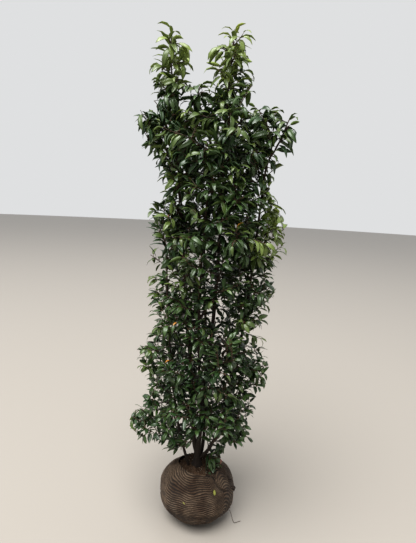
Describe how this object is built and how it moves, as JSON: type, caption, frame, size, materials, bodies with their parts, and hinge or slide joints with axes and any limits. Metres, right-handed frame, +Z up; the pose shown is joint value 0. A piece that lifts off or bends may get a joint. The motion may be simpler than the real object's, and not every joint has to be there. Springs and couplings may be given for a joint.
{
  "type": "columnar laurel shrub",
  "caption": "Tall narrow laurel shrub on several stems, with pointed evergreen leaves, standing on a squat root ball in a stretched wrap.",
  "frame": {"origin": "centre of the flat underside of the root ball", "axes": "+Z up the stems, +X to the right and +Y away from the viewer, as the shrub is seen in its front view"},
  "size_m": [0.6762, 0.5727, 2.3302],
  "materials": {
    "wrap": "coarse stretched netting over jute, damp and soil stained",
    "soil": "dark damp crumbly soil",
    "bark": "smooth grey-brown young bark",
    "leaf": "waxy glossy dark green leaf",
    "young_leaf": "waxy yellow-green young leaf"
  },
  "bodies": {
    "root": {"root_ball_wrap": "wrap", "root_ball_soil": "soil", "trunk": "bark", "left_leader": "bark", "right_stem": "bark", "left_stem": "bark", "back_stem": "bark", "front_bough": "bark", "left_upper_bough": "bark", "middle_bough": "bark", "right_upper_bough": "bark", "foliage_1_left": "leaf", "foliage_1_front": "leaf", "foliage_1_right": "leaf", "foliage_1_back": "leaf", "foliage_2_left": "leaf", "foliage_2_front": "leaf", "foliage_2_right": "leaf", "foliage_2_back": "leaf", "foliage_3_left": "leaf", "foliage_3_front": "leaf", "foliage_3_right": "leaf", "foliage_3_back": "leaf", "foliage_4_left": "leaf", "foliage_4_front": "leaf", "foliage_4_right": "leaf", "foliage_4_back": "leaf", "foliage_5_left": "leaf", "foliage_5_front": "leaf", "foliage_5_right": "leaf", "foliage_5_back": "leaf", "left_leader_top": "young_leaf", "right_leader_top": "young_leaf", "middle_top": "young_leaf", "left_shoot": "young_leaf", "right_inner_shoot": "young_leaf", "right_outer_shoot": "young_leaf"}
  },
  "joints": []
}
